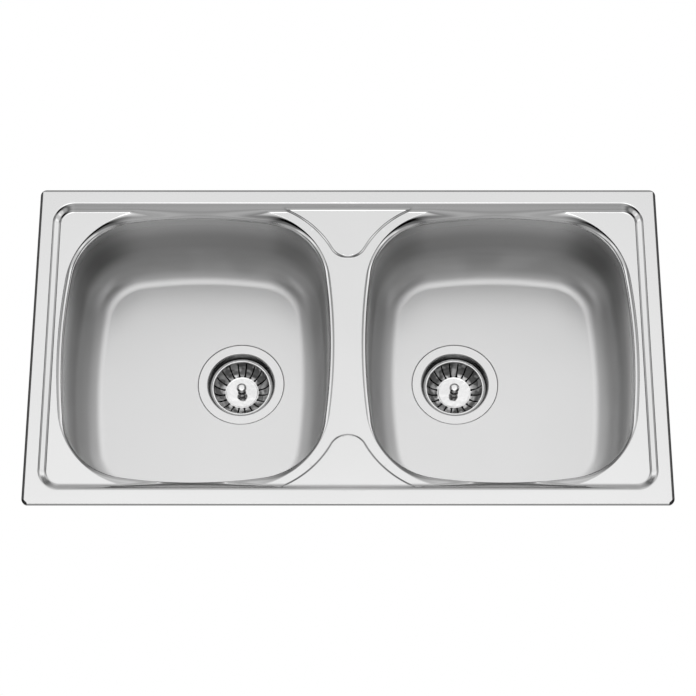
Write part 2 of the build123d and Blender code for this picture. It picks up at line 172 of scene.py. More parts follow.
def finish(name, paint):
    """Material from a function that turns the object coordinate into the inputs of a Principled shader."""
    material = bpy.data.materials.new(name)
    material.use_nodes = True
    tree = material.node_tree
    shader = next(node for node in tree.nodes if node.type == "BSDF_PRINCIPLED")
    coordinate = tree.nodes.new("ShaderNodeTexCoord")
    for key, value in paint(Value(tree, coordinate.outputs["Object"])).items():
        if isinstance(value, Value):
            tree.links.new(value.socket, shader.inputs[key])
        else:
            shader.inputs[key].default_value = value
    return material


def grey(level, warmth=0.0):
    """Grey of a brightness, a little redder than blue where it has warmth."""
    return (level * (1 + warmth), level, level * (1 - warmth))


# Bands of height or reach in metres, each from where a finish, a painted shade or a painted light starts to
# where it is complete.
# WALL is where painted shade darkens the bowls' walls and FLOOR where painted light lightens their floors
DRAWN, BOTTOM, WALL, FLOOR = (-0.0085, -0.030), (-0.075, -0.110), (-0.020, -0.060), (-0.122, -0.130)
LEVEL_BAND = (0.00002, 0.0002)      # off a flat level
# the rim's rolled edge carries painted shade from EDGE_AT outwards
EDGE_AT, EDGE_BAND = (0.3966, 0.2143), (0.0, 0.0002)    # the rim's rolled edge, in X and in Y
# FRONT_REACH and FRONT_HEIGHT place painted shade on the outer face of the rim's lip along the near side
FRONT_REACH, FRONT_HEIGHT = (0.2130, 0.2140), (0.0049, 0.0044)
# CORNER_SIDE, CORNER_NEAR and CORNER_CUT place a painted dark reflection on the rim's near corners
CORNER_SIDE, CORNER_NEAR, CORNER_CUT = (-0.0040, -0.0034), (0.2105, 0.2112), (0.2112, 0.2117)
SHADOW_SIDE, SHADOW_FAR, SHADOW_DEPTH = (-0.140, -0.055), (0.03, 0.15), (-0.009, -0.030)


def satin_steel(at):
    """Pressed sheet: fine grain along X, faint clouds in how it scatters.

    The creases scatter least, the bowls more and their bottom bends most.  Painted shade darkens the rolled
    edge outside the rim's flat and the front of its lip, and a painted dark reflection nearly blackens the
    near corners.  Painted shade darkens the bowls' walls, with a painted shadow in their outer far corners,
    and painted light lightens their floors.
    """
    x, y, depth = at.axes()
    near = 0.0 - y
    drawn, bottom, floor = depth.between(*DRAWN), depth.between(*BOTTOM), depth.between(*FLOOR)
    flat = 0.0
    for level in (RIM_TOP, DECK_TOP + PAD_RISE, DECK_TOP):
        flat = (1.0 - (depth - level * MM).size().between(*LEVEL_BAND)) + flat
    crease = (1.0 - flat) * (1.0 - drawn)
    # painted shade: the rolled edge outside the rim's flat, at both ends and along the far side, is darkened
    # in its colour
    end = x.size() - EDGE_AT[0]
    painted_side_shade = end.between(*EDGE_BAND)
    painted_far_shade = (y - EDGE_AT[1]).between(*EDGE_BAND) * (1.0 - painted_side_shade)
    # painted shade on the outer face of the rim's lip along the near side
    front = near.between(*FRONT_REACH) * depth.between(*FRONT_HEIGHT)
    # painted dark reflection: the rim's near corners are darkened almost to black in the colour
    corner = end.between(*CORNER_SIDE) * near.between(*CORNER_NEAR) * (end - y).between(*CORNER_CUT)
    above = 1.0 - bottom
    # painted shade on the bowls' walls, and a painted shadow in their outer far corners
    wall = depth.between(*WALL) * above
    shadow = end.between(*SHADOW_SIDE) * y.between(*SHADOW_FAR) * depth.between(*SHADOW_DEPTH) * above
    grain = at.scaled(6.0, 900.0, 900.0).noise(1.0, 3.0, 0.6)
    clouds = at.noise(9.0, 2.0)
    patches = at.noise(16.0, 1.0).between(0.38, 0.62)
    level = 0.745 + 0.03 * clouds
    # each place takes this share off the colour: painted shade on the rolled edge and the lip's front, a
    # painted shadow in the bowls' far corners, a painted dark reflection on the near corners, painted shade
    # on the bowls' walls and, by a negative share, painted light on their floors
    for place, loss in ((painted_side_shade, 0.90), (painted_far_shade, 0.62), (shadow, 0.45), (front, 0.62), (corner, 0.95),
                        (wall, 0.36), (floor, -0.18)):
        level = level * (1.0 - loss * place)
    bend = (0.12 + 0.16 * patches * (1.0 - floor)) * bottom
    roughness = 0.13 - 0.08 * crease + 0.12 * drawn + bend + 0.04 * clouds + 0.03 * grain
    return {"Base Color": level.neutral(), "Metallic": 1.0, "Roughness": roughness,
            "Normal": grain.bump(0.000005)}


def drain_place(at):
    """Distance from the axis of the nearer drain, and height, in metres."""
    x, y, depth = at.axes()
    aside = x.size() - DRAIN_X * MM
    return (aside * aside + y * y) ** 0.5, depth


# Bands of height or radius on the strainer's inside: its skin, and where painted shade darkens it.
FOOT_START, FOOT_SLOPE, CUP_REACH = -0.169, 0.8, 0.0390
CUP_SKIN, CUP_LOW, OUTLET_SKIN = (0.0, 0.0004), (-0.1745, -0.1741), (0.0208, 0.0214)
THROAT_SKIN, THROAT_LOW = (0.0441, 0.0445), (-0.1440, -0.1436)
THROAT_SHADE, CUP_SHADE = (-0.1325, -0.1365), (-0.141, -0.146)


def bright_steel(at):
    """Turned and polished strainer body; inside, it dulls down the throat, and painted shade darkens it down
    the throat and in the cup.
    """
    radius, depth = drain_place(at)
    haze = at.noise(60.0, 3.0)
    below = (FOOT_START - depth).at_least(0.0)
    cup_inside = (CUP_REACH - FOOT_SLOPE * below - radius).between(*CUP_SKIN) * depth.between(*CUP_LOW)
    inside = cup_inside.at_least(1.0 - radius.between(*OUTLET_SKIN))
    throat_inside = (1.0 - radius.between(*THROAT_SKIN)) * depth.between(*THROAT_LOW)
    # painted shade: the inside of the throat and of the cup is darkened with depth in the colour
    throat = depth.between(*THROAT_SHADE) * inside.at_least(throat_inside)
    cup = depth.between(*CUP_SHADE) * inside
    level = (0.71 + 0.05 * haze) * (1.0 - 0.58 * throat) * (1.0 - 0.92 * cup)
    return {"Base Color": level.neutral(), "Metallic": 1.0, "Roughness": 0.17 + 0.08 * haze - 0.06 * throat}


# Bands of radius, height and noise on the basket, and where its painted glints and painted shade fall.
BLADES_FROM, BLADES_TO, BLADES_DEEP = (0.0215, 0.0228), (0.0368, 0.0374), (-0.1445, -0.1475)
RIM_EDGE_SHADE, NECK_SKIN, NECK_TOP, PAINTED_GLINT = (0.0391, 0.0394), (0.0042, 0.0050), (-0.147, -0.146), (0.46, 0.58)


def basket_steel(at):
    """Polished stamping with small waves: bright disc and rim, and blades whose painted glints make some
    lighter and some darker.

    Painted shade darkens the rim's outer part, the blades' top where they meet the rim, and the knob's neck,
    its stem and the disc's middle under the knob.
    """
    radius, depth = drain_place(at)
    blades = radius.between(*BLADES_FROM) * (1.0 - radius.between(*BLADES_TO))
    deep = depth.between(*BLADES_DEEP)
    # painted glints: a noise picks which blades are painted lighter and which darker
    light = at.noise(95.0, 1.0, 0.3).between(*PAINTED_GLINT)
    # painted shade under the knob's head: its neck, its stem and the disc's middle
    neck = (1.0 - radius.between(*NECK_SKIN)) * (1.0 - depth.between(*NECK_TOP))
    # painted glints lighten some blades and darken others, and painted shade darkens their top a tenth where
    # they meet the rim
    level = 0.82 * (1.0 - blades * (0.60 - 0.76 * light)) * (1.0 - 0.10 * blades * (1.0 - deep))
    # painted shade on the rim's outer part and under the knob's head
    level = level * (1.0 - 0.6 * radius.between(*RIM_EDGE_SHADE)) * (1.0 - 0.85 * neck)
    return {"Base Color": level.neutral(), "Metallic": 1.0 - 0.70 * blades,
            "Roughness": 0.07 + 0.08 * at.noise(300.0), "Normal": at.noise(110.0, 1.0).bump(0.0004)}


def plain_finish(dark, light, noise, rough, rougher=0.0, metallic=0.0, relief=0.0, skin=None):
    """Paint of a plain surface: one noise varies its colour and makes it rougher.

    A relief in metres follows the same noise, or a skin noise of its own scale.
    """
    def paint(at):
        """Inputs of the shader."""
        cloud = at.noise(*noise)
        inputs = {"Base Color": cloud.shade(dark, light), "Metallic": metallic,
                  "Roughness": rough + rougher * cloud if rougher else rough}
        if relief:
            inputs["Normal"] = (at.noise(skin) if skin else cloud).bump(relief)
        return inputs
    return paint


paints = {
    "satin_steel": satin_steel, "bright_steel": bright_steel, "basket_steel": basket_steel,
    "seal_foam": plain_finish(grey(0.03), grey(0.075), (1800.0, 2.0), 0.92, relief=0.0004),
    "damping_mat": plain_finish(grey(0.05, 0.04), grey(0.12, 0.04), (420.0, 3.0, 0.7), 0.7, 0.2,
                                relief=0.0006),
    "black_rubber": plain_finish(grey(0.018), grey(0.04), (90.0, 3.0), 0.45, 0.2,
                                 relief=0.00005, skin=1500.0),
    "pale_gasket": plain_finish(grey(0.56), grey(0.64), (90.0, 3.0), 0.4, 0.15),
    "fibre_ring": plain_finish((0.70, 0.67, 0.60), (0.80, 0.78, 0.73), (700.0, 2.0), 0.55, 0.15),
    "nut_plastic": plain_finish((0.78, 0.78, 0.75), (0.84, 0.84, 0.82), (35.0, 2.0), 0.38, 0.12,
                                relief=0.00006, skin=1200.0),
    "zinc_plate": plain_finish((0.56, 0.58, 0.61), (0.68, 0.70, 0.72), (140.0, 3.0), 0.24, 0.16,
                               metallic=1.0),
    "zinc_cast": plain_finish(grey(0.50), grey(0.60), (500.0, 3.0), 0.42, 0.15,
                              metallic=1.0, relief=0.00025)}
finishes = {name: finish(name, paint) for name, paint in paints.items()}


# ---- meshes ----
WELD = 1e4          # corners are one where they agree to a ten thousandth of a millimetre
TINY = 1e-9         # keeps a division from nothing


def unit(vectors):
    """The vectors at length one."""
    return vectors / np.maximum(np.linalg.norm(vectors, axis=-1, keepdims=True), TINY)


def with_height(flat, height=0.0):
    """Points or directions in the plane, given their third coordinate."""
    return np.concatenate([flat, np.full((*flat.shape[:-1], 1), height)], -1)


def swept(profile, outward):
    """A profile of (reach, height) along each outward direction: reach times direction, plus height up."""
    return profile[:, None, :1] * outward + profile[:, None, 1:] * UPRIGHT


def quads(rows, columns, wrap=False):
    """Corner numbers of the faces of a grid of points; wrap joins the last column to the first."""
    number = np.arange(rows * columns).reshape(rows, columns)
    if wrap:
        number = np.concatenate([number, number[:, :1]], axis=1)
    return np.stack([number[:-1, :-1], number[:-1, 1:], number[1:, 1:], number[1:, :-1]], -1).reshape(-1, 4)


def grid(points, normals, wrap=False, flip=False):
    """One patch: rows by columns of points, their normals and the faces between them."""
    faces = quads(points.shape[0], points.shape[1], wrap)
    return points.reshape(-1, 3), normals.reshape(-1, 3), faces[:, ::-1] if flip else faces


def put_in_place(name, mesh, node):
    """Object of a mesh that stands for a CAD node: its finish, and the rigid body that it rides."""
    made = bpy.data.objects.new(name, mesh)
    bpy.context.scene.collection.objects.link(made)
    slot = material_slots[node]
    mesh.materials.clear()
    mesh.materials.append(finishes[slot])
    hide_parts(node)
    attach(made, body_of[node])
    return made


def piece(name, patches, node):
    """One mesh of welded patches that stands for a CAD node.

    Corners that coincide become one, faces that close to a line go, and a face with one doubled corner
    becomes a triangle.
    """
    points = np.concatenate([patch[0] for patch in patches])
    normals = np.concatenate([patch[1] for patch in patches])
    starts = np.cumsum([0] + [len(patch[0]) for patch in patches[:-1]])
    faces = np.concatenate([patch[2] + start for patch, start in zip(patches, starts)])
    _, first, index = np.unique(np.round(points * WELD).astype(np.int64), axis=0,
                                return_index=True, return_inverse=True)
    index = index.reshape(-1)
    total = np.zeros((len(first), 3))
    np.add.at(total, index, normals)
    total /= np.maximum(np.linalg.norm(total, axis=1, keepdims=True), TINY)
    faces = index[faces]
    keep = faces != np.roll(faces, -1, axis=1)
    count = keep.sum(axis=1)
    keep &= (count >= 3)[:, None]
    loops = faces[keep]
    count = count[count >= 3]
    mesh = bpy.data.meshes.new(name)
    mesh.vertices.add(len(first))
    mesh.vertices.foreach_set("co", (points[first] * MM).astype(np.float32).ravel())
    mesh.loops.add(len(loops))
    mesh.loops.foreach_set("vertex_index", loops.astype(np.int32))
    mesh.polygons.add(len(count))
    mesh.polygons.foreach_set("loop_start", (np.cumsum(count) - count).astype(np.int32))
    mesh.update(calc_edges=True)
    mesh.validate()
    mesh.shade_smooth()
    if len(mesh.vertices) == len(total):
        mesh.normals_split_custom_set_from_vertices(total.astype(np.float32))
    return put_in_place(name, mesh, node)


SHARP_RADIUS = 0.1      # a corner that gives no radius
EDGE_SHARE = 0.49       # the most of an edge that an arc at its end takes


def rounded(corners, closed=False, turn_step=15.0):
    """Points and left-hand normals along a path of (r, z, radius) corners, each rounded by its own arc.

    An arc has a point at least every turn_step degrees.
    """
    place = np.array([corner[:2] for corner in corners], float)
    count = len(place)
    points, normals = [], []
    for i, corner in enumerate(corners):
        if not closed and i in (0, count - 1):
            tangent = unit(place[1] - place[0] if i == 0 else place[-1] - place[-2])
            points.append(place[i])
            normals.append((-tangent[1], tangent[0]))
            continue
        before, after = place[i] - place[i - 1], place[(i + 1) % count] - place[i]
        incoming, outgoing = unit(before), unit(after)
        turn = math.atan2(incoming[0] * outgoing[1] - incoming[1] * outgoing[0], float(incoming @ outgoing))
        reach = math.tan(abs(turn) / 2)
        radius = corner[2] if len(corner) > 2 else SHARP_RADIUS
        shorter = min(np.linalg.norm(before), np.linalg.norm(after))
        length = min(radius * reach, EDGE_SHARE * shorter)
        radius = length / max(reach, TINY)
        steps = max(2, math.ceil(abs(math.degrees(turn)) / turn_step))
        start = math.atan2(incoming[1], incoming[0])
        sign = 1.0 if turn > 0 else -1.0
        first = place[i] - incoming * length
        centre = first + sign * radius * np.array((-incoming[1], incoming[0]))
        angle = start + turn * np.linspace(0, 1, steps + 1)
        left = np.stack([-np.sin(angle), np.cos(angle)], -1)
        points.extend(centre - sign * radius * left)
        normals.extend(left)
    points, normals = np.array(points), np.array(normals)
    if closed:
        points, normals = np.concatenate([points, points[:1]]), np.concatenate([normals, normals[:1]])
    return points, normals


def rays(angle):
    """Directions (cos a, sin a, 0)."""
    return np.stack([np.cos(angle), np.sin(angle), 0 * angle], -1)


def turned(corners, at, sides=96, closed=True, turn_step=15.0):
    """Surface of revolution about Z: point (r cos a, r sin a, z); its outside is on the profile's left."""
    profile, left = rounded(corners, closed, turn_step)
    ray = rays(np.linspace(0, TURN, sides, endpoint=False))
    return grid(swept(profile, ray) + np.array(at), swept(left, ray), wrap=True, flip=True)


# ---- outlines of the sheet ----
class Outline:
    """Four bulging sides and four round corners, all tangent arcs."""

    def __init__(self, half_x, half_y, side, end, corner):
        """Arcs of radius side and end through (half_x, 0) and (0, half_y); the corner's arc touches both."""
        self.side, self.end, self.corner = side, end, corner
        self.side_x, self.end_y = half_x - side, half_y - end
        span = math.hypot(self.side_x, self.end_y)
        along = ((side - corner) ** 2 - (end - corner) ** 2 + span ** 2) / (2 * span)
        across = math.sqrt((side - corner) ** 2 - along ** 2)
        ux, uy = -self.side_x / span, self.end_y / span
        self.x = self.side_x + ux * along - uy * across
        self.y = uy * along + ux * across
        self.low = math.atan2(self.y, self.x - self.side_x)
        self.high = math.atan2(self.y - self.end_y, self.x)

    def distance(self, x, y):
        """Signed distance, outside positive: taken to the arc in whose sector the point lies."""
        ax, ay = np.abs(x), np.abs(y)
        angle = np.arctan2(ay - self.y, ax - self.x)
        corner = np.hypot(ax - self.x, ay - self.y) - self.corner
        side = np.hypot(ax - self.side_x, ay) - self.side
        end = np.hypot(ax, ay - self.end_y) - self.end
        return np.where(angle < self.low, side, np.where(angle > self.high, end, corner))


seam = Outline(169.5, 184.4, 796.0, 595.0, 90.0)
shoulder = Outline(175.5, 196.4, 789.0, 685.0, 114.0)


def from_rectangle(x, y, half_x, half_y, corner):
    """Signed distance from a rounded rectangle."""
    qx, qy = np.abs(x) - half_x + corner, np.abs(y) - half_y + corner
    return np.hypot(np.maximum(qx, 0), np.maximum(qy, 0)) + np.minimum(np.maximum(qx, qy), 0) - corner


def from_pad(x, y):
    """Signed distance from a pad: to its round tip within the tip's sector, else to its hollow side."""
    ax, ay = np.abs(x), np.abs(y) - PAD_TIP - PAD_TIP_RADIUS
    reach = PAD_TIP_RADIUS + PAD_SIDE_RADIUS
    tip = np.hypot(ax, ay) - PAD_TIP_RADIUS
    beside = np.minimum(ax - reach * math.sin(PAD_TURN), 0)
    side = PAD_SIDE_RADIUS - np.hypot(beside, ay + reach * math.cos(PAD_TURN))
    return np.where(np.arctan2(ax, -ay) < PAD_TURN, tip, side)


def larger(first, second, width):
    """The larger of two values, rounded where they are within a width of each other."""
    share = np.clip(0.5 + 0.5 * (first - second) / width, 0, 1)
    return second + (first - second) * share + width * share * (1 - share)


NO_WIDTH = 1e-6     # a width or a distance from the middle that counts as none


def deck_height(x, y):
    """Height of the left half of the pressed deck.

    Inside the shoulder's outline the height falls on a quarter superellipse from the deck to the seam;
    pads rise on 45 degree sides; a 45 degree slope joins all of it to the rim's flat top.
    """
    bx = x + BOWL_X
    outer, inner = shoulder.distance(bx, y), seam.distance(bx, y)
    share = np.clip(inner / np.maximum(inner - outer, NO_WIDTH), 0, 1)
    across = (1 - share) ** SHOULDER_POWER
    height = SEAM_LEVEL + SHOULDER_DROP * (1 - across) ** (1 / SHOULDER_POWER)
    pad = larger(-from_pad(x, y), 0, PAD_BEND)
    pad = PAD_RISE - larger(PAD_RISE - pad, 0, PAD_BEND)
    height = height + pad
    slope = RIM_TOP + from_rectangle(x, y, RECESS_LENGTH / 2, RECESS_WIDTH / 2, RECESS_CORNER)
    height = larger(slope, height, FOOT_BEND)
    return RIM_TOP - larger(RIM_TOP - height, 0, RIM_BEND)


def deck_normal(x, y, step=0.02):
    """Normal of the height field from central differences."""
    slope_x = (deck_height(x + step, y) - deck_height(x - step, y)) / (2 * step)
    slope_y = (deck_height(x, y + step) - deck_height(x, y - step)) / (2 * step)
    return unit(np.stack([-slope_x, -slope_y, np.ones_like(slope_x)], -1))


# ---- deck ----
RAY_SPACING = 3.2
ROWS, UNDER_ROWS = 58, 24
BEND_POINTS = 8         # on each corner of the contour
MIDDLE_CREASES = ((RECESS_WIDTH / 2 - 4.0, 8.0), (PAD_TIP, 4.0))    # place and reach of closer points
MIDDLE_POINTS = 29      # within that reach
SEAM_START, SEAM_ROUNDS, SEAM_STEP = 180.0, 30, 0.01
FINE_POINTS, PLAIN_WEIGHT, BLUR, BLUR_REACH = 900, 0.012, 8.0, 5


def half_contour():
    """Points on the edge of the rim's flat top round the left half, and their outward directions."""
    half_x, half_y = SINK_LENGTH / 2 - RIM_ROLL, SINK_WIDTH / 2 - RIM_ROLL
    corner = OUTER_CORNER - RIM_ROLL
    inset_x, inset_y = half_x - corner, half_y - corner

    def straight(start, stop, out):
        """Evenly spaced points from start to just before stop."""
        count = max(2, round(math.dist(start, stop) / RAY_SPACING))
        share = np.linspace(0, 1, count, endpoint=False)[:, None]
        return np.array(start) + (np.array(stop) - np.array(start)) * share, np.tile(out, (count, 1))

    def bend(centre, start):
        """A quarter circle from a start angle, without its last point."""
        out = rays(start + np.linspace(0, TURN / 4, BEND_POINTS, endpoint=False))[:, :2]
        return np.array(centre) + corner * out, out

    levels = [np.linspace(-half_y, half_y, round(2 * half_y / RAY_SPACING) + 1)]
    for crease, reach in MIDDLE_CREASES:
        close = crease + np.linspace(-reach, reach, MIDDLE_POINTS)
        levels += [close, -close]
    levels = np.unique(np.round(np.concatenate(levels), 3))[:-1]
    middle = np.stack([0 * levels, levels], -1)
    runs = [(middle, np.tile((1.0, 0.0), (len(middle), 1))),
            straight((0, half_y), (-inset_x, half_y), (0.0, 1.0)),
            bend((-inset_x, inset_y), TURN / 4),
            straight((-half_x, inset_y), (-half_x, -inset_y), (-1.0, 0.0)),
            bend((-inset_x, -inset_y), TURN / 2),
            straight((-inset_x, -half_y), (0, -half_y), (0.0, -1.0))]
    points = np.concatenate([places for places, _ in runs])
    return points, np.concatenate([out for _, out in runs]), len(middle)


def seam_points(contour):
    """Where the ray from the bowl's middle to each contour point crosses the seam.

    The reach along a ray is shortened by its distance from the seam until nothing is left of it.
    """
    ray = unit(contour + FROM_BOWL)
    reach = np.full(len(ray), SEAM_START)
    for _ in range(SEAM_ROUNDS):
        reach -= seam.distance(ray[:, 0] * reach, ray[:, 1] * reach)
    return ray * reach[:, None] - FROM_BOWL


def ray_shares(start, end, rows):
    """Shares along each ray, closer together where the sheet bends.

    Each short step of the ray weighs its turn of the normal plus a little for its length, blurred over its
    neighbours; the rows then lie at equal parts of the whole weight.
    """
    fine = np.linspace(0, 1, FINE_POINTS)
    xy = start[None] + (end - start)[None] * fine[:, None, None]
    normals = deck_normal(xy[..., 0], xy[..., 1])
    bending = np.arccos(np.clip((normals[1:] * normals[:-1]).sum(-1), -1, 1))
    length = np.linalg.norm(end - start, axis=1)[None] / (FINE_POINTS - 1)
    weight = bending + PLAIN_WEIGHT * length
    smooth = sum(np.roll(weight, shift, axis=1) * math.exp(-shift * shift / BLUR)
                 for shift in range(-BLUR_REACH, BLUR_REACH + 1))
    total = np.concatenate([np.zeros((1, smooth.shape[1])), np.cumsum(smooth, axis=0)])
    total /= total[-1]
    wanted = np.linspace(0, 1, rows)
    return np.stack([np.interp(wanted, total[:, i], fine) for i in range(total.shape[1])], 1)


def mirrored(patch):
    """The patch and its mirror image across the sink's middle."""
    points, normals, faces = patch
    return [patch, (points * (-1, 1, 1), normals * (-1, 1, 1), faces[:, ::-1])]


FROM_BOWL = np.array((BOWL_X, 0))
contour, contour_out, middle_count = half_contour()
left_seam = seam_points(contour)
seam_ray = left_seam + FROM_BOWL
seam_out = unit(np.stack([seam.distance(*(seam_ray + step).T) - seam.distance(*(seam_ray - step).T)
                          for step in SEAM_STEP * np.eye(2)], -1))


def deck_field(rows):
    """Points and normals of the deck's left half: rows from seam to contour, a column for each ray."""
    share = ray_shares(left_seam, contour, rows)[..., None]
    xy = left_seam[None] + (contour - left_seam)[None] * share
    xy[-1] = contour
    height = deck_height(xy[..., 0], xy[..., 1])
    height[0] = SEAM_LEVEL
    points = np.concatenate([xy, height[..., None]], -1)
    normals = deck_normal(xy[..., 0], xy[..., 1])
    normals[0] = with_height(-seam_out)
    normals[-1, middle_count:] = UPRIGHT
    on_middle = np.abs(points[..., 0]) < NO_WIDTH
    points[on_middle, 0] = 0
    normals[on_middle, 0] = 0
    return points, unit(normals)


def build_deck():
    """Upper and under faces of the sheet, joined at the seams and round the rim's rolled lip."""
    top, top_normal = deck_field(ROWS)
    share = np.unique(np.linspace(0, ROWS - 1, UNDER_ROWS).round().astype(int))
    under = (top - SHEET * top_normal)[share]
    edge = np.stack([top[0], under[0]])
    patches = [grid(top, top_normal, wrap=True, flip=True), grid(under, -top_normal[share], wrap=True),
               grid(edge, np.tile(-UPRIGHT, (2, edge.shape[1], 1)), wrap=True)]
    inside = RIM_ROLL - SHEET
    lip, lip_normal = rounded([(0, RIM_TOP), (RIM_ROLL, RIM_TOP, RIM_ROLL), (RIM_ROLL, LIP_GAP, 0.2),
                               (inside, LIP_GAP, 0.2), (inside, RIM_TOP - SHEET, inside - 0.01),
                               (0, RIM_TOP - SHEET)], turn_step=11.0)
    strip = np.arange(middle_count, len(contour) + 1) % len(contour)
    out = contour_out[strip].copy()
    out[-1] = (0, -1)
    out = with_height(out)
    patches.append(grid(with_height(contour[strip]) + swept(lip, out), swept(lip_normal, out), flip=True))
    return piece("pressed_deck", [half for patch in patches for half in mirrored(patch)], "deck_panel")


# ---- bowls ----
WALL_ROWS, FLOOR_ROWS, FLOOR_RUN = 12, 14, 60
SEAT_EDGE, SEAT_FOOT, SEAT_RUN = 0.7, 1.6, 4


def build_bowl(name, side):
    """One drawn bowl.

    Wall and bottom bend: the seam's outline moved inwards by the profile's offset.  Floor: lines from there
    to the seat's edge.  Seat: a turned profile round the drain.  The outer skin lies a sheet further out.
    """
    foot = (SEAM_LEVEL - FLOOR_TOP) * math.tan(BOWL_DRAFT)
    profile, left = rounded([(0, SEAM_LEVEL), (foot, FLOOR_TOP, BOWL_BOTTOM_RADIUS),
                             (foot + FLOOR_RUN, FLOOR_TOP)], turn_step=6.0)
    profile, left = profile[:-1], left[:-1]
    wall = profile[0] + (profile[1] - profile[0]) * np.linspace(0, 1, WALL_ROWS)[:-1, None]
    profile = np.concatenate([wall, profile[1:]])
    left = np.concatenate([np.tile(left[0], (len(wall), 1)), left[1:]])
    inward = with_height(-seam_out)
    wall_points = with_height(left_seam) + swept(profile, inward)
    edge = SEAT_RADIUS + SEAT_FLARE
    seat, seat_left = rounded([(edge + SEAT_RUN, FLOOR_TOP), (edge, FLOOR_TOP, SEAT_EDGE),
                               (SEAT_RADIUS, SEAT_TOP, SEAT_FOOT), (DRAIN_HOLE, SEAT_TOP)], turn_step=8.0)
    ray = with_height(unit(seam_ray))
    seat_points = np.array((-DRAIN_X, 0, 0)) + swept(seat, ray)
    share = np.linspace(0, 1, FLOOR_ROWS)[1:-1, None, None]
    floor_points = wall_points[-1] + (seat_points[0] - wall_points[-1]) * share
    flat = np.tile(UPRIGHT, (2, len(ray), 1))
    floor_normals = np.repeat(flat[:1], len(share), 0)
    points = np.concatenate([wall_points, floor_points, seat_points])
    normals = np.concatenate([swept(left, inward), floor_normals, -swept(seat_left, ray)])
    outer = points - SHEET * normals
    patches = [grid(points, normals, wrap=True), grid(outer, -normals, wrap=True, flip=True),
               grid(np.stack([points[0], outer[0]]), flat, wrap=True, flip=True),
               grid(np.stack([points[-1], outer[-1]]), np.tile(-ray, (2, 1, 1)), wrap=True)]
    if side > 0:
        patches = [mirrored(patch)[1] for patch in patches]
    return piece(f"{name}_drawn_bowl", patches, f"{name}_bowl")


build_deck()
for name, side in (("left", -1), ("right", 1)):
    build_bowl(name, side)


# ---- drain: strainer body, basket, knob, stopper and their rings ----
THREAD_RADIUS, THREAD_TOP, THREAD_LOW, THREAD_PITCH, THREAD_DEPTH = 45.2, -1.8, -20.0, 2.5, 0.9
OUTLET_RADIUS, OUTLET_TOP, OUTLET_LOW, OUTLET_PITCH = 23.9, -49.0, -68.0, 2.309
NUT_RADIUS, NUT_LUG_RADIUS, NUT_LUG_WIDTH, NUT_LUGS, NUT_HEIGHT = 52.0, 60.0, 12.0, 6, 9.0
NUT_TOP, NUT_PLAY, NUT_EDGE = -7.5, 0.05, 0.8
DISC_RADIUS, DISC_TOP, BASKET_SHEET = 21.5, -27.5, 0.8
SLOTS, SLOT_HALF, SLOT_HOLE = 20, 0.9, 1.5


def grid_normals(points, wrap):
    """Normals of a grid from its differences along rows and columns."""
    along = np.gradient(points, axis=0)
    if wrap:
        across = np.roll(points, -1, axis=1) - np.roll(points, 1, axis=1)
    else:
        across = np.gradient(points, axis=1)
    return unit(np.cross(across, along))


GROOVE_START, GROOVE_SLOPE = 1.35, 1.9


def thread(radius, low, high, pitch, depth, at, sides, steps=8):
    """Screw thread: radius less a depth times a wave of z / pitch - a / full turn, faded out at both ends.

    The wave runs from 0 to 1 and back in each pitch; its low part is the groove with flat bottom and crest.
    """
    rows = round((high - low) / pitch * steps)
    z = np.linspace(high, low, rows + 1)[:, None]
    angle = np.linspace(0, TURN, sides, endpoint=False)[None]
    wave = np.abs((z / pitch - angle / TURN) % 1.0 - 0.5) * 2
    groove = np.clip(GROOVE_START - GROOVE_SLOPE * wave, 0, 1)
    fade = np.clip(np.minimum(z - low, high - z) / pitch, 0, 1)
    reach = radius - depth * groove * fade
    points = np.stack([reach * np.cos(angle), reach * np.sin(angle), z + 0 * angle], -1) + np.array(at)
    return grid(points, -grid_normals(points, True), wrap=True, flip=True)


def build_strainer(name, at):
    """Flanged cup turned from one profile, with its clamping thread and its outlet thread cut in.

    Corners here and in the next pieces are (radius, height from the flange's top, rounding).
    """
    cup = [(THREAD_RADIUS, THREAD_LOW), (41.8, THREAD_LOW, 0.4), (41.8, -34.0, 0.4), (39.4, -40.6, 4.0),
           (32.0, -46.2, 4.0), (OUTLET_RADIUS, OUTLET_TOP, 1.0), (OUTLET_RADIUS, OUTLET_TOP - 0.6)]
    inside = [(OUTLET_RADIUS, OUTLET_LOW), (20.0, OUTLET_LOW, 0.6), (20.0, -46.0, 0.6), (21.0, -46.0, 0.3),
              (25.0, -42.0, 0.8), (38.2, -42.0, 8.0), (38.8, -11.8, 0.4), (41.6, -11.8, 0.4),
              (43.6, 0.0, 2.0), (56.4, 0.0, 0.6), (56.4, -1.2, 0.3), (THREAD_RADIUS, -1.2, 0.3),
              (THREAD_RADIUS, THREAD_TOP)]
    patches = [turned(cup, at, closed=False), turned(inside, at, closed=False, turn_step=10.0),
               thread(THREAD_RADIUS, THREAD_LOW, THREAD_TOP, THREAD_PITCH, THREAD_DEPTH, at, 96),
               thread(OUTLET_RADIUS, OUTLET_LOW, OUTLET_TOP - 0.6, OUTLET_PITCH, THREAD_DEPTH, at, 96)]
    return piece(f"{name}_strainer", patches, f"{name}_strainer_body")


def arc_through(first, second, third, count):
    """Points on the circle through three points, from the first to the last."""
    first, second, third = (np.array(point, float) for point in (first, second, third))
    sums = [second @ second - first @ first, third @ third - first @ first]
    centre = np.linalg.solve(2 * np.array([second - first, third - first]), sums)
    start, middle, stop = (math.atan2(*(point - centre)[::-1]) for point in (first, second, third))
    turn = (stop - start) % TURN
    if (middle - start) % TURN > turn:
        turn -= TURN
    angle = start + turn * np.linspace(0, 1, count)
    return centre + np.hypot(*(first - centre)) * np.stack([np.cos(angle), np.sin(angle)], -1)


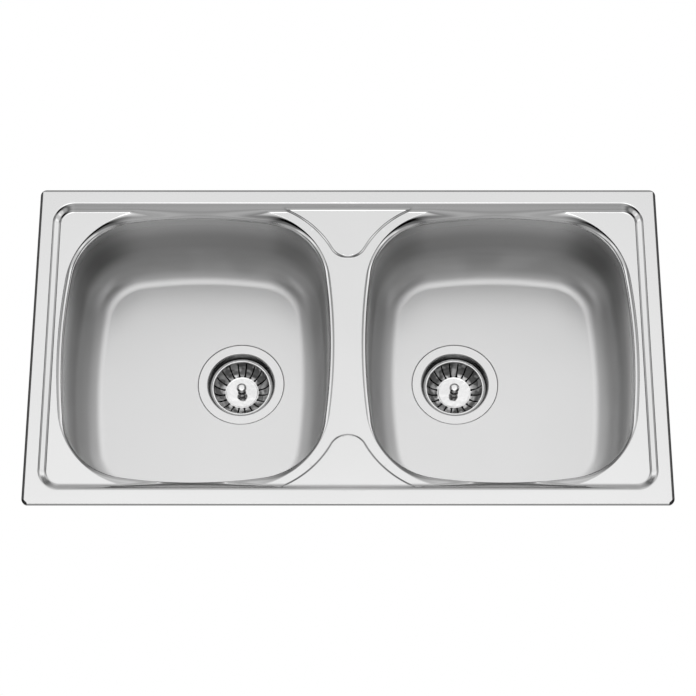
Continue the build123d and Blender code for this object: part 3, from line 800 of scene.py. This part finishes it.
ARC_POINTS = 400
RIM_FOOT, RIM_FOOT_OUTER = (36.6, -13.5), (37.4, -13.5)     # where the blades meet the basket's rim
HOLE_AT, TIP_MARGIN, CLOSE = 2.1, 0.8, 1e-4     # along a blade; places within the last are the same
BLADE_SHARES = (0, 0.05, 0.2, 0.35, 0.5, 0.65, 0.8, 0.95, 1.0)
BLADE_FLATNESS, BLADE_DIP, EASE_START, EASE_LENGTH = 0.6, 0.006, 0.2, 3.0
LEAN_TURN, LEAN_SHIFT = 0.055, 0.008


def slot_places(length):
    """Places along a blade and the slot's half width there.

    The half width follows a round hole at the slot's inner end, then a constant width, then a half circle.
    """
    tip = length - TIP_MARGIN - SLOT_HALF
    leave = HOLE_AT + math.sqrt(SLOT_HOLE ** 2 - SLOT_HALF ** 2)
    swing = np.linspace(0, 1, 7) * TURN / 4
    places = np.unique(np.round(np.concatenate([
        [0, 0.3], HOLE_AT - SLOT_HOLE * np.cos(swing * 1.2), np.linspace(leave, tip, 14),
        tip + SLOT_HALF * np.sin(swing), [length - 0.4, length]]), 5))
    places = places[(places < HOLE_AT + SLOT_HOLE * 0.5) | (places >= leave - CLOSE)]
    half = np.sqrt(np.clip(SLOT_HOLE ** 2 - (places - HOLE_AT) ** 2, 0, None))
    half = np.where(places < HOLE_AT, half, np.maximum(half, SLOT_HALF))
    half = np.where(places > tip, np.sqrt(np.clip(SLOT_HALF ** 2 - (places - tip) ** 2, 0, None)), half)
    half[places > tip + SLOT_HALF - CLOSE] = 0
    return places, half


def build_basket(name, at, seed):
    """Stamped basket: turned disc and rim, and between them twenty flattened blades with a slot by each.

    A blade's corner angles are its sector's, less the slot's half width over the radius.  Each blade leans a
    little of its own.
    """
    at = np.array(at)
    disc_under = DISC_TOP - BASKET_SHEET
    inner = arc_through((DISC_RADIUS, DISC_TOP), (32.63, -23.03), RIM_FOOT, ARC_POINTS)
    outer = arc_through((DISC_RADIUS, disc_under), (33.2, -23.6), RIM_FOOT_OUTER, ARC_POINTS)
    along = np.concatenate([[0], np.cumsum(np.hypot(*np.diff(inner, axis=0).T))])
    length = along[-1]
    places, half = slot_places(length)
    number = np.arange(ARC_POINTS)
    pick = np.interp(places, along, number)
    rows_in, rows_out = (np.stack([np.interp(pick, number, arc[:, k]) for k in (0, 1)], -1)
                         for arc in (inner, outer))
    share = np.array(BLADE_SHARES)
    sector = TURN / SLOTS
    start = (np.arange(SLOTS) + 0.5)[:, None, None] * sector
    open_angle = (half / rows_in[:, 0])[None, :, None]
    local = open_angle + (sector - 2 * open_angle) * share - sector / 2
    twist = np.random.default_rng(seed).uniform(-1, 1, (SLOTS, 2))[..., None, None]
    ease = np.clip(np.minimum(places - EASE_START, length - EASE_START - places) / EASE_LENGTH, 0, 1)
    ease = (ease * ease * (3 - 2 * ease))[None, :, None]
    lean = LEAN_TURN * twist[:, 0] * local + LEAN_SHIFT * twist[:, 1]
    flattened = 1 + ease * (BLADE_FLATNESS * (1 / np.cos(local) - 1) - BLADE_DIP + lean)
    angle = start + sector / 2 + local
    blades = []
    for rows in (rows_in, rows_out):
        reach = rows[None, :, :1] * flattened
        height = rows[None, :, 1:] + 0 * reach
        blades.append(np.stack([reach * np.cos(angle), reach * np.sin(angle), height], -1) + at)
    slotted = (half[:-1] > 0) | (half[1:] > 0)
    patches = []
    for top, under in zip(*blades):
        patches.append(grid(top, -grid_normals(top, False), flip=True))
        patches.append(grid(under, grid_normals(under, False)))
        for column, flip in ((0, False), (-1, True)):
            wall = np.stack([top[:, column], under[:, column]])
            # one normal for the whole wall, from two of its rows
            out = unit(np.cross(wall[0, 5] - wall[1, 5], wall[0, 8] - wall[0, 5])) * (1 if flip else -1)
            points, normals, faces = grid(wall, np.tile(out, (2, wall.shape[1], 1)), flip=flip)
            patches.append((points, normals, faces[slotted]))
    ray = rays((start + sector * share[:-1]).reshape(-1))
    disc = [(DISC_RADIUS, disc_under), (3.15, disc_under, 0.2), (3.15, DISC_TOP, 0.2),
            (17.5, DISC_TOP - 0.25, 3.0), (20.3, DISC_TOP - 0.25, 0.8), (DISC_RADIUS, DISC_TOP)]
    rim = [RIM_FOOT, (36.6, -10.7, 0.3), (38.6, -10.7, 0.3), (39.0, -9.9, 0.4), (40.6, -9.9, 0.5),
           (41.0, -10.3, 0.4), (41.0, -11.5, 0.3), (37.4, -11.5, 0.2), RIM_FOOT_OUTER]
    for path in (disc, rim):
        profile, left = rounded(path)
        patches.append(grid(swept(profile, ray) + at, swept(left, ray), wrap=True, flip=True))
    return piece(f"{name}_strainer_basket", patches, f"{name}_basket")


def build_knob(name, at):
    """Turned knob with its neck, foot and the stem that carries the stopper."""
    corners = [(0, -10.0), (4.2, -10.25, 12.0), (6.5, -11.4, 0.8), (6.5, -13.6, 0.8), (3.4, -15.0, 1.0),
               (3.4, -24.4, 1.6), (5.5, -26.2, 0.5), (5.5, -27.2, 0.2), (3.1, -27.2, 0.2), (3.1, -39.0, 0.3),
               (8.0, -39.0, 0.4), (8.0, -40.5, 0.2), (0, -40.5)]
    return piece(f"{name}_lift_knob", [turned(corners, at, 72, closed=False)], f"{name}_knob")


RING_BORE = 45.6
ONE_POINT = 0.01        # an inner line smaller than this is one point


def build_rings(name, at):
    """Stopper, flange gasket, washer and friction ring, each turned with soft edges."""
    cone = [(0, -40.5), (14.0, -40.5, 1.0), (23.5757, -42.2, 0.5), (23.5757, -43.0, 0.4),
            (20.8757, -45.7, 0.6), (12.0, -46.5, 1.0), (0, -46.5)]
    piece(f"{name}_rubber_stopper", [turned(cone, at, closed=False)], f"{name}_stopper")
    for label, node, radius, top, height, soft in (("seal_ring", "flange_gasket", 56.0, -1.2, 1.5, 0.4),
                                                   ("thick_washer", "rubber_washer", 57.0, -3.5, 3.0, 0.8),
                                                   ("slip_ring", "friction_ring", 56.0, -6.5, 1.0, 0.25)):
        corners = [(RING_BORE, top, soft), (radius, top, soft), (radius, top - height, soft),
                   (RING_BORE, top - height, soft)]
        piece(f"{name}_{label}", [turned(corners, at)], f"{name}_{node}")


def collar(outer, outward, inner, low, high, edge):
    """Closed ring or slab between an outline and an inner line matched point by point.

    The outline's edges are quarter circles: inwards edge * (1 - sin a), down or up edge * (1 - cos a).
    Where the inner line is one point, there is no inner wall.
    """
    turn = np.linspace(0, TURN / 4, 5)
    inwards, down = edge * (1 - np.sin(turn)), edge * (1 - np.cos(turn))
    offset = np.concatenate([inwards, inwards[::-1]])[:, None, None]
    level = np.concatenate([high - down, low + down[::-1]])[:, None, None]
    rise = np.concatenate([np.cos(turn), -np.cos(turn[::-1])])[:, None, None]
    spread = np.concatenate([np.sin(turn), np.sin(turn[::-1])])[:, None, None]
    column = np.ones((1, len(outer), 1))
    rim = np.concatenate([outer - offset * outward, level * column], -1)
    rim_normal = np.concatenate([spread * outward, rise * column], -1)
    top, under = with_height(inner, high)[None], with_height(inner, low)[None]
    up = with_height(0 * inner, 1.0)[None]
    points = np.concatenate([top, rim, under])
    patches = [grid(points, np.concatenate([up, rim_normal, -up]), wrap=True, flip=True)]
    if np.ptp(inner, axis=0).max() > ONE_POINT:
        wall = with_height(unit(inner - outer))
        patches.append(grid(np.concatenate([under, top]), np.stack([wall, wall]), wrap=True, flip=True))
    return patches


def outward_outline(corners, turn_step):
    """Points round a closed path given clockwise, and their outward directions, in the opposite order."""
    path, left = rounded(corners, closed=True, turn_step=turn_step)
    return path[:-1][::-1], left[:-1][::-1]


def build_nut(name, at):
    """Ring nut: round body with six lugs, moulded with soft edges."""
    half = NUT_LUG_WIDTH / 2
    root = math.sqrt(NUT_RADIUS ** 2 - half ** 2)
    between = math.asin(half / NUT_RADIUS)
    corners = []
    for lug in range(NUT_LUGS):
        angle = -lug * TURN / NUT_LUGS
        cosine, sine = math.cos(angle), math.sin(angle)
        for x, y, radius in ((root, half, 1.5), (NUT_LUG_RADIUS, half, 2.0), (NUT_LUG_RADIUS, -half, 2.0),
                             (root, -half, 1.5)):
            corners.append((x * cosine - y * sine, x * sine + y * cosine, radius))
        for share in np.linspace(0, 1, 10)[1:-1]:
            turn = angle - between - (TURN / NUT_LUGS - 2 * between) * share
            corners.append((NUT_RADIUS * math.cos(turn), NUT_RADIUS * math.sin(turn), 3.0))
    outline, out = outward_outline(corners, 20.0)
    bore = unit(outline) * (THREAD_RADIUS + NUT_PLAY)
    top = at[2] + NUT_TOP
    patches = collar(outline + at[:2], out, bore + at[:2], top - NUT_HEIGHT, top, NUT_EDGE)
    return piece(f"{name}_ring_nut", patches, f"{name}_lock_nut")


def rectangle_outline(length, width, corner):
    """Points round a rounded rectangle and their outward directions."""
    return outward_outline([(x * length, y * width, corner)
                            for x, y in ((0.5, -0.5), (-0.5, -0.5), (-0.5, 0.5), (0.5, 0.5))], 15.0)


SEAL_INSET, SEAL_CORNER, SEAL_WIDTH, SEAL_EDGE = 4.0, 4.0, 10.0, 0.6
MAT_LENGTH, MAT_WIDTH, MAT_CORNER, MAT_THICKNESS, MAT_OFFSET, MAT_EDGE = 180.0, 88.0, 10.0, 2.5, 73.0, 0.9


def build_seal():
    """Foam strip under the rim: a collar between the strip's outer and inner outlines."""
    outline, out = rectangle_outline(SINK_LENGTH - 2 * SEAL_INSET, SINK_WIDTH - 2 * SEAL_INSET, SEAL_CORNER)
    reach = np.array((SINK_LENGTH, SINK_WIDTH)) / 2 - SEAL_INSET - SEAL_WIDTH
    inner = np.clip(outline, -reach, reach)
    return piece("foam_seal", collar(outline, out, inner, 0.0, RIM_TOP - SHEET, SEAL_EDGE), "rim_seal")


def build_mat(name, side):
    """Damping mat stuck under the bowl's floor."""
    outline, out = rectangle_outline(MAT_WIDTH, MAT_LENGTH, MAT_CORNER)
    middle = np.array((side * (BOWL_X + MAT_OFFSET), 0.0))
    top = FLOOR_TOP - SHEET
    patches = collar(outline + middle, out, 0 * outline + middle, top - MAT_THICKNESS, top, MAT_EDGE)
    return piece(f"{name}_damping_mat", patches, f"{name}_sound_pad")


SHANK_RADIUS, SHANK_TOP, SHANK_LOW, SHANK_PITCH, SHANK_DEPTH = 3.0, -17.0, -62.0, 1.25, 0.45
HEAD_RADIUS, HEAD_LOW, HEAD_EDGE = 5.5, -67.0, 0.4


def build_screw(name, at):
    """Clamp screw: riveted top, neck, collar, threaded shank and hexagon head."""
    upper = [(0, -9.7), (4.8, -9.7, 0.5), (4.8, -11.7, 0.3), (2.6, -11.7, 0.2), (2.6, -13.8, 0.2),
             (4.8, -13.8, 0.3), (4.8, -15.8, 0.3), (SHANK_RADIUS, -15.8, 0.2), (SHANK_RADIUS, SHANK_TOP)]
    patches = [turned(upper, at, 24, closed=False),
               thread(SHANK_RADIUS, SHANK_LOW, SHANK_TOP, SHANK_PITCH, SHANK_DEPTH, at, 24, 6)]
    outline, out = outward_outline([(HEAD_RADIUS * math.cos(angle), HEAD_RADIUS * math.sin(angle), 0.25)
                                    for angle in np.arange(6)[::-1] * TURN / 6], 30.0)
    centre = np.array(at[:2])
    low, high = at[2] + HEAD_LOW, at[2] + SHANK_LOW
    patches += collar(outline + centre, out, 0 * outline + centre, low, high, HEAD_EDGE)
    return piece(f"{name}_clamp_screw", patches, f"{name}_screw")


def softened(node, name, width):
    """Copy of a node's own solid, its doubles merged, with its edges broken by a narrow bevel."""
    doubles, flat_angle, smooth_angle, bevel_angle = 1e-6, 1.0, 30.0, 40.0
    mesh = frame["nodes"][node].data.copy()
    work = bmesh.new()
    work.from_mesh(mesh)
    bmesh.ops.remove_doubles(work, verts=work.verts, dist=doubles)
    bmesh.ops.dissolve_limit(work, angle_limit=math.radians(flat_angle), verts=work.verts, edges=work.edges)
    work.to_mesh(mesh)
    work.free()
    mesh.name = name
    mesh.shade_smooth()
    mesh.set_sharp_from_angle(angle=math.radians(smooth_angle))
    made = put_in_place(name, mesh, node)
    bevel = made.modifiers.new("edges", "BEVEL")
    bevel.width, bevel.segments, bevel.limit_method = width * MM, 2, "ANGLE"
    bevel.angle_limit = math.radians(bevel_angle)
    return made


SEED = 11       # of the blades' lean; the two baskets differ
CLIP_X, CLIP_Y = 335.0, 181.0
BRACKET_BEVEL, CLAW_BEVEL = 0.35, 0.5

build_seal()
for name, side in (("left", -1), ("right", 1)):
    drain = (side * DRAIN_X, 0.0, FLANGE_TOP)
    build_strainer(name, drain)
    build_basket(name, drain, SEED + side)
    build_knob(name, drain)
    build_rings(name, drain)
    build_nut(name, drain)
    build_mat(name, side)

for row, far in (("far", 1), ("near", -1)):
    for place, side in (("left", -1), ("middle", 0), ("right", 1)):
        clip = f"{row}_{place}"
        under = (DECK_TOP + PAD_RISE if side == 0 else DECK_TOP) - SHEET
        build_screw(clip, (side * CLIP_X, far * CLIP_Y, under))
        softened(f"{clip}_bracket", f"{clip}_channel", BRACKET_BEVEL)
        softened(f"{clip}_claw", f"{clip}_clamp_arm", CLAW_BEVEL)

# ---- CAD nodes that stay: their finish ----
for node, carried in frame["nodes"].items():
    carried.data.materials.clear()
    carried.data.materials.append(finishes[material_slots[node]])

# ---- floor and world ----
FLOOR_LEVEL, FLOOR_REACH = -0.205, 30.0


def plain_floor():
    """Pale floor: white to the eye and in reflections, and a matt pale grey to the studio's light."""
    mesh = bpy.data.meshes.new("floor")
    corners = [(x * FLOOR_REACH, y * FLOOR_REACH, FLOOR_LEVEL)
               for x, y in ((-1, -1), (1, -1), (1, 1), (-1, 1))]
    mesh.from_pydata(corners, [], [(0, 1, 2, 3)])
    floor = bpy.data.objects.new("floor", mesh)
    bpy.context.scene.collection.objects.link(floor)
    material = bpy.data.materials.new("floor")
    material.use_nodes = True
    tree = material.node_tree
    tree.nodes.clear()
    path = tree.nodes.new("ShaderNodeLightPath").outputs
    camera_ray, glossy_ray, through_ray = (Value(tree, path[f"Is {kind} Ray"])
                                           for kind in ("Camera", "Glossy", "Transmission"))
    seen = camera_ray.maths("ADD", camera_ray + glossy_ray, through_ray, clamp=True)
    matt = seen.node("ShaderNodeBsdfDiffuse", {}, {"Color": (*grey(0.8), 1.0)})
    white = seen.node("ShaderNodeEmission", {}, {"Color": (*grey(1.0), 1.0), "Strength": 1.0})
    mixed = seen.node("ShaderNodeMixShader", {}, {0: seen, 1: matt, 2: white})
    seen.node("ShaderNodeOutputMaterial", {}, {"Surface": mixed})
    mesh.materials.append(material)


# Soft panels: azimuth from +Y towards +X, elevation, strength, and how many degrees from its middle a panel
# is full and ends (5 and 24 for a plain one).  A panel beside the middle has a twin on the other side.
PLAIN_PANELS = (
    (0, 90, 0.49), (0, 72, 0.55), (60, 72, 0.17), (180, 72, 0.16), (0, 54, 0.14), (35, 54, 0.24),
    (70, 54, 0.10), (180, 54, 0.26), (45, 34, 0.35), (180, 36, 0.10), (0, 14, 0.21), (45, 14, 0.19),
    (90, 14, 0.55), (135, 14, 0.33), (180, 14, 0.26), (0, -4, 0.19), (90, -4, 0.06))
SHAPED_PANELS = (
    (0, 37, 0.40, 8, 25), (0, 86, 0.9, 2, 9), (64, 4, 0.8, 10, 22), (48, 53, -0.5, 3, 14),
    (105, 54, -0.5, 6, 18), (180, 66, -0.1, 6, 18), (140, 63, -0.12, 6, 18), (112, 20, 0.6, 6, 17))
PANELS = [(*panel, 5, 24) for panel in PLAIN_PANELS] + list(SHAPED_PANELS)
AMBIENT = 0.16


def studio_world():
    """World of one plain level with soft bright or dark panels, never darker than black.

    A panel adds its strength where the angle to its middle is less than its full reach, and fades to nothing
    at its end.
    """
    world = bpy.data.worlds.new("studio")
    bpy.context.scene.world = world
    world.use_nodes = True
    tree = world.node_tree
    tree.nodes.clear()
    direction = Value(tree, tree.nodes.new("ShaderNodeTexCoord").outputs["Generated"])
    level = AMBIENT
    for azimuth, elevation, strength, full, end in PANELS:
        full_cosine, end_cosine = math.cos(math.radians(full)), math.cos(math.radians(end))
        for turn in ((azimuth,) if azimuth % 180 == 0 else (azimuth, -azimuth)):
            across, up = math.radians(turn), math.radians(elevation)
            middle = (math.sin(across) * math.cos(up), math.cos(across) * math.cos(up), math.sin(up))
            facing = direction.node("ShaderNodeVectorMath", {"operation": "DOT_PRODUCT"},
                                    {0: direction, 1: middle}, output=1)
            level = facing.between(end_cosine, full_cosine) * strength + level
    strength = level.at_least(0.0)
    light = level.node("ShaderNodeBackground", {}, {"Color": (*grey(1.0), 1.0), "Strength": strength})
    light.node("ShaderNodeOutputWorld", {}, {"Surface": light})


plain_floor()
studio_world()
